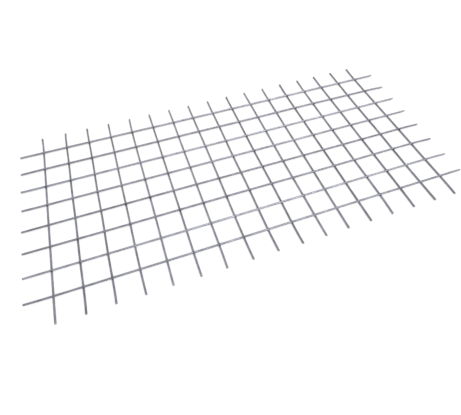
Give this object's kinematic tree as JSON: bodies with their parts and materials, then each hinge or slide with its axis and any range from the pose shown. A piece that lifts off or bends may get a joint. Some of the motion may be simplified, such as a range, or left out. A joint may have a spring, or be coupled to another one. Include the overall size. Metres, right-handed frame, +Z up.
{
  "type": "welded wire mesh panel",
  "caption": "Flat card of welded steel wire mesh: a layer of long wires across a layer of cross wires, with free wire ends all round.",
  "frame": {"origin": "on the surface that the panel lies on, under the middle of the panel", "axes": "+X along the long wires, +Y along the cross wires, +Z up from the cross wires to the long wires"},
  "size_m": [1, 0.5, 0.0073],
  "materials": {
    "drawn_wire": "bare drawn steel wire, bluish grey, satin, with a darker weld at each crossing"
  },
  "bodies": {
    "root": {"mesh_panel": "drawn_wire"}
  },
  "joints": []
}
